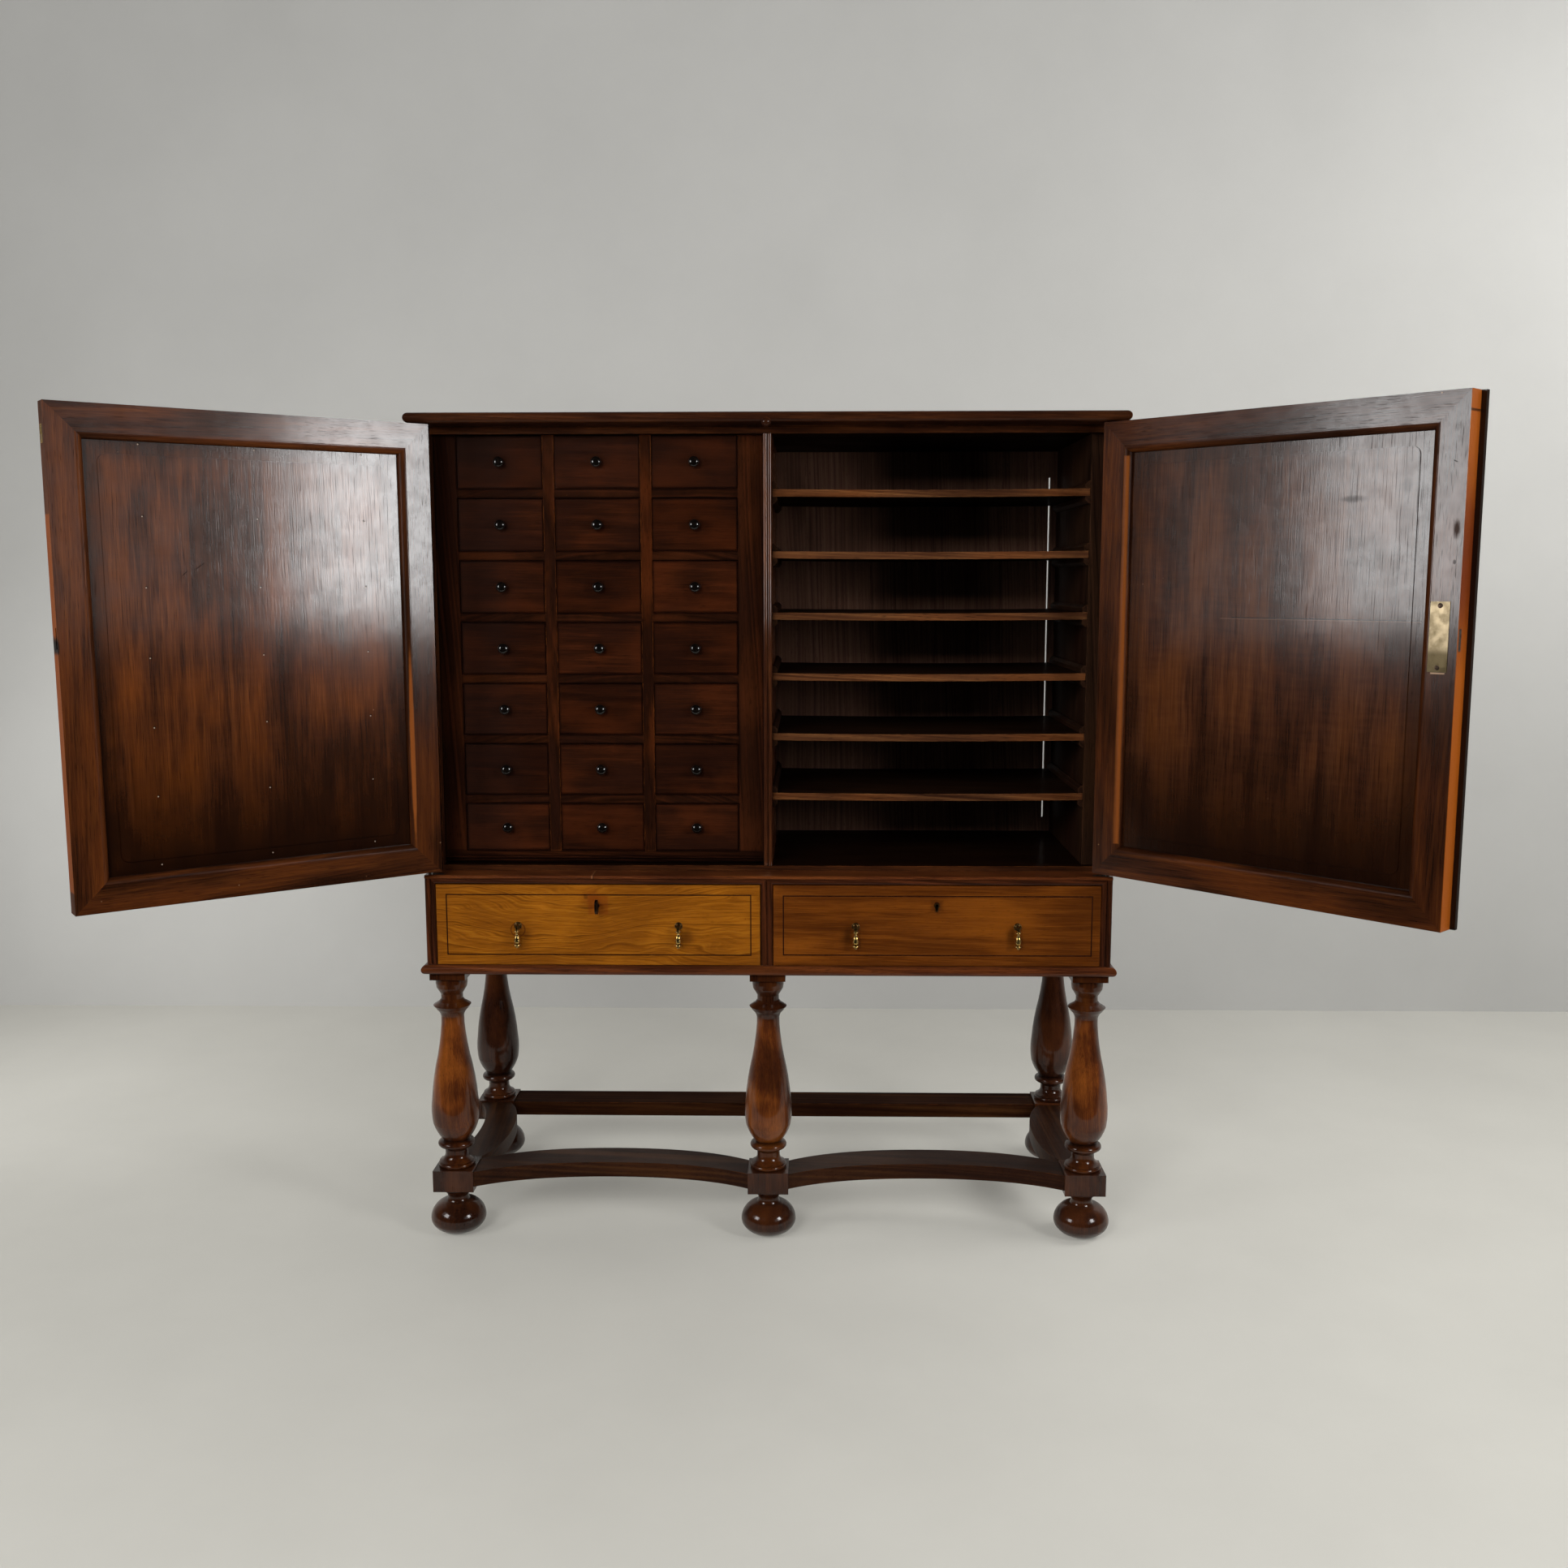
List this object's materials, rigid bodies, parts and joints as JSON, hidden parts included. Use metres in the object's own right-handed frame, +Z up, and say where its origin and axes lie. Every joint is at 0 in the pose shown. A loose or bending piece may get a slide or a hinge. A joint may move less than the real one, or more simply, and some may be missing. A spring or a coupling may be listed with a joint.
{
  "type": "cabinet on stand",
  "caption": "Cabinet on a turned-leg stand: panelled doors over a nest of small drawers and a bay of sliding shelves, with long drawers in the stand.",
  "frame": {"origin": "on the floor, at the middle of the middle front foot's underside", "axes": "+X along the width to the right of a person facing the doors, +Y to the back, +Z up"},
  "size_m": [2.2644, 0.9872, 1.6],
  "materials": {
    "turned_walnut": "dark polished turned walnut, rubbed lighter on the swells",
    "stand_walnut": "dark polished walnut",
    "case_walnut": "dark polished walnut boards",
    "bead_walnut": "polished walnut beading",
    "nest_walnut": "satin walnut rails and stiles",
    "back_oak": "dull brown oak boards",
    "bay_oak": "dull brown oak",
    "shelf_oak": "dull brown oak with a rubbed front edge",
    "drawer_walnut": "satin straight-grained walnut",
    "golden_walnut": "polished figured walnut, golden",
    "russet_walnut": "polished figured walnut, russet",
    "door_walnut": "polished walnut frame, worn at the edges",
    "panel_walnut": "polished walnut panel",
    "old_brass": "aged brass, bright on the high spots",
    "lock_steel": "darkened iron-grey steel",
    "key_steel": "dull steel"
  },
  "bodies": {
    "carcase": {"bun_feet": "turned_walnut", "stretcher_blocks": "stand_walnut", "turned_legs": "turned_walnut", "stretchers": "stand_walnut", "base_moulding": "stand_walnut", "stand_case": "case_walnut", "stand_front": "bead_walnut", "gables": "case_walnut", "case_boards": "case_walnut", "back_boards": "back_oak", "centre_partition": "bead_walnut", "cornice": "case_walnut", "drawer_nest": "nest_walnut", "shelf_runners": "bay_oak", "door_pivots": "lock_steel"},
    "long_drawer_left": {"long_drawer_left": "golden_walnut", "drawer_brass_left": "old_brass"},
    "long_drawer_right": {"long_drawer_right": "russet_walnut", "drawer_brass_right": "old_brass"},
    "door_left": {"door_frame_left": "door_walnut", "door_panel_left": "panel_walnut", "flush_bolt_plate": "old_brass"},
    "door_right": {"door_frame_right": "door_walnut", "door_panel_right": "panel_walnut", "door_lock": "old_brass"},
    "small_drawer_1_1": {"small_drawer_1_1": "drawer_walnut"},
    "small_drawer_1_2": {"small_drawer_1_2": "drawer_walnut"},
    "small_drawer_1_3": {"small_drawer_1_3": "drawer_walnut"},
    "small_drawer_1_4": {"small_drawer_1_4": "drawer_walnut"},
    "small_drawer_1_5": {"small_drawer_1_5": "drawer_walnut"},
    "small_drawer_1_6": {"small_drawer_1_6": "drawer_walnut"},
    "small_drawer_1_7": {"small_drawer_1_7": "drawer_walnut"},
    "small_drawer_2_1": {"small_drawer_2_1": "drawer_walnut"},
    "small_drawer_2_2": {"small_drawer_2_2": "drawer_walnut"},
    "small_drawer_2_3": {"small_drawer_2_3": "drawer_walnut"},
    "small_drawer_2_4": {"small_drawer_2_4": "drawer_walnut"},
    "small_drawer_2_5": {"small_drawer_2_5": "drawer_walnut"},
    "small_drawer_2_6": {"small_drawer_2_6": "drawer_walnut"},
    "small_drawer_2_7": {"small_drawer_2_7": "drawer_walnut"},
    "small_drawer_3_1": {"small_drawer_3_1": "drawer_walnut"},
    "small_drawer_3_2": {"small_drawer_3_2": "drawer_walnut"},
    "small_drawer_3_3": {"small_drawer_3_3": "drawer_walnut"},
    "small_drawer_3_4": {"small_drawer_3_4": "drawer_walnut"},
    "small_drawer_3_5": {"small_drawer_3_5": "drawer_walnut"},
    "small_drawer_3_6": {"small_drawer_3_6": "drawer_walnut"},
    "small_drawer_3_7": {"small_drawer_3_7": "drawer_walnut"},
    "shelf_1": {"shelf_1": "shelf_oak"},
    "shelf_2": {"shelf_2": "shelf_oak"},
    "shelf_3": {"shelf_3": "shelf_oak"},
    "shelf_4": {"shelf_4": "shelf_oak"},
    "shelf_5": {"shelf_5": "shelf_oak"},
    "shelf_6": {"shelf_6": "shelf_oak"},
    "pull_drop_1": {"pull_drop_1": "old_brass"},
    "pull_drop_2": {"pull_drop_2": "old_brass"},
    "pull_drop_3": {"pull_drop_3": "old_brass"},
    "pull_drop_4": {"pull_drop_4": "old_brass"},
    "drawer_lock_bolt": {"drawer_lock_bolt": "lock_steel"},
    "drawer_key": {"drawer_key": "key_steel"},
    "flush_bolt": {"flush_bolt": "lock_steel"},
    "lock_bolt": {"lock_bolt": "lock_steel"}
  },
  "joints": [
    {"name": "left_door_swing", "type": "hinge", "parent": "carcase", "child": "door_left", "pos_m": [-0.65, -0.024, 0.74], "axis": [0, 0, -1], "range_deg": [-142.2, 37.8]},
    {"name": "right_door_swing", "type": "hinge", "parent": "carcase", "child": "door_right", "pos_m": [0.65, -0.024, 0.74], "axis": [0, 0, 1], "range_deg": [-133.4, 46.6]},
    {"name": "small_drawer_1_1_slide", "type": "slide", "parent": "carcase", "child": "small_drawer_1_1", "axis": [0, -1, 0], "range_m": [0, 0.33]},
    {"name": "small_drawer_1_2_slide", "type": "slide", "parent": "carcase", "child": "small_drawer_1_2", "axis": [0, -1, 0], "range_m": [0, 0.33]},
    {"name": "small_drawer_1_3_slide", "type": "slide", "parent": "carcase", "child": "small_drawer_1_3", "axis": [0, -1, 0], "range_m": [0, 0.33]},
    {"name": "small_drawer_1_4_slide", "type": "slide", "parent": "carcase", "child": "small_drawer_1_4", "axis": [0, -1, 0], "range_m": [0, 0.33]},
    {"name": "small_drawer_1_5_slide", "type": "slide", "parent": "carcase", "child": "small_drawer_1_5", "axis": [0, -1, 0], "range_m": [0, 0.33]},
    {"name": "small_drawer_1_6_slide", "type": "slide", "parent": "carcase", "child": "small_drawer_1_6", "axis": [0, -1, 0], "range_m": [0, 0.33]},
    {"name": "small_drawer_1_7_slide", "type": "slide", "parent": "carcase", "child": "small_drawer_1_7", "axis": [0, -1, 0], "range_m": [0, 0.33]},
    {"name": "small_drawer_2_1_slide", "type": "slide", "parent": "carcase", "child": "small_drawer_2_1", "axis": [0, -1, 0], "range_m": [0, 0.33]},
    {"name": "small_drawer_2_2_slide", "type": "slide", "parent": "carcase", "child": "small_drawer_2_2", "axis": [0, -1, 0], "range_m": [0, 0.33]},
    {"name": "small_drawer_2_3_slide", "type": "slide", "parent": "carcase", "child": "small_drawer_2_3", "axis": [0, -1, 0], "range_m": [0, 0.33]},
    {"name": "small_drawer_2_4_slide", "type": "slide", "parent": "carcase", "child": "small_drawer_2_4", "axis": [0, -1, 0], "range_m": [0, 0.33]},
    {"name": "small_drawer_2_5_slide", "type": "slide", "parent": "carcase", "child": "small_drawer_2_5", "axis": [0, -1, 0], "range_m": [0, 0.33]},
    {"name": "small_drawer_2_6_slide", "type": "slide", "parent": "carcase", "child": "small_drawer_2_6", "axis": [0, -1, 0], "range_m": [0, 0.33]},
    {"name": "small_drawer_2_7_slide", "type": "slide", "parent": "carcase", "child": "small_drawer_2_7", "axis": [0, -1, 0], "range_m": [0, 0.33]},
    {"name": "small_drawer_3_1_slide", "type": "slide", "parent": "carcase", "child": "small_drawer_3_1", "axis": [0, -1, 0], "range_m": [0, 0.33]},
    {"name": "small_drawer_3_2_slide", "type": "slide", "parent": "carcase", "child": "small_drawer_3_2", "axis": [0, -1, 0], "range_m": [0, 0.33]},
    {"name": "small_drawer_3_3_slide", "type": "slide", "parent": "carcase", "child": "small_drawer_3_3", "axis": [0, -1, 0], "range_m": [0, 0.33]},
    {"name": "small_drawer_3_4_slide", "type": "slide", "parent": "carcase", "child": "small_drawer_3_4", "axis": [0, -1, 0], "range_m": [0, 0.33]},
    {"name": "small_drawer_3_5_slide", "type": "slide", "parent": "carcase", "child": "small_drawer_3_5", "axis": [0, -1, 0], "range_m": [0, 0.33]},
    {"name": "small_drawer_3_6_slide", "type": "slide", "parent": "carcase", "child": "small_drawer_3_6", "axis": [0, -1, 0], "range_m": [0, 0.33]},
    {"name": "small_drawer_3_7_slide", "type": "slide", "parent": "carcase", "child": "small_drawer_3_7", "axis": [0, -1, 0], "range_m": [0, 0.33]},
    {"name": "shelf_1_slide", "type": "slide", "parent": "carcase", "child": "shelf_1", "axis": [0, -1, 0], "range_m": [0, 0.3]},
    {"name": "shelf_2_slide", "type": "slide", "parent": "carcase", "child": "shelf_2", "axis": [0, -1, 0], "range_m": [0, 0.3]},
    {"name": "shelf_3_slide", "type": "slide", "parent": "carcase", "child": "shelf_3", "axis": [0, -1, 0], "range_m": [0, 0.3]},
    {"name": "shelf_4_slide", "type": "slide", "parent": "carcase", "child": "shelf_4", "axis": [0, -1, 0], "range_m": [0, 0.3]},
    {"name": "shelf_5_slide", "type": "slide", "parent": "carcase", "child": "shelf_5", "axis": [0, -1, 0], "range_m": [0, 0.3]},
    {"name": "shelf_6_slide", "type": "slide", "parent": "carcase", "child": "shelf_6", "axis": [0, -1, 0], "range_m": [0, 0.3]},
    {"name": "long_drawer_left_slide", "type": "slide", "parent": "carcase", "child": "long_drawer_left", "axis": [0, -1, 0], "range_m": [0, 0.36]},
    {"name": "long_drawer_right_slide", "type": "slide", "parent": "carcase", "child": "long_drawer_right", "axis": [0, -1, 0], "range_m": [0, 0.36]},
    {"name": "pull_drop_1_swing", "type": "hinge", "parent": "long_drawer_left", "child": "pull_drop_1", "pos_m": [-0.4806, -0.0525, 0.635], "axis": [-1, 0, 0], "range_deg": [-7, 85]},
    {"name": "pull_drop_2_swing", "type": "hinge", "parent": "long_drawer_left", "child": "pull_drop_2", "pos_m": [-0.1706, -0.0525, 0.635], "axis": [-1, 0, 0], "range_deg": [-7, 85]},
    {"name": "pull_drop_3_swing", "type": "hinge", "parent": "long_drawer_right", "child": "pull_drop_3", "pos_m": [0.1696, -0.0525, 0.635], "axis": [-1, 0, 0], "range_deg": [-7, 85]},
    {"name": "pull_drop_4_swing", "type": "hinge", "parent": "long_drawer_right", "child": "pull_drop_4", "pos_m": [0.4796, -0.0525, 0.635], "axis": [-1, 0, 0], "range_deg": [-7, 85]},
    {"name": "drawer_key_turn", "type": "hinge", "parent": "long_drawer_left", "child": "drawer_key", "pos_m": [-0.3256, -0.06, 0.676], "axis": [0, 1, 0], "range_deg": [0, 90]},
    {"name": "drawer_lock_bolt_slide", "type": "slide", "parent": "long_drawer_left", "child": "drawer_lock_bolt", "axis": [0, 0, 1], "range_m": [0, 0.008]},
    {"name": "flush_bolt_slide", "type": "slide", "parent": "door_left", "child": "flush_bolt", "axis": [0, 0, 1], "range_m": [0, 0.01]},
    {"name": "lock_bolt_slide", "type": "slide", "parent": "door_right", "child": "lock_bolt", "axis": [0.6871, -0.7266, 0], "range_m": [0, 0.012]}
  ],
  "couplings": [
    {"joint": "drawer_key_turn", "follows": "drawer_lock_bolt_slide", "rad_per_m": 196.3}
  ]
}
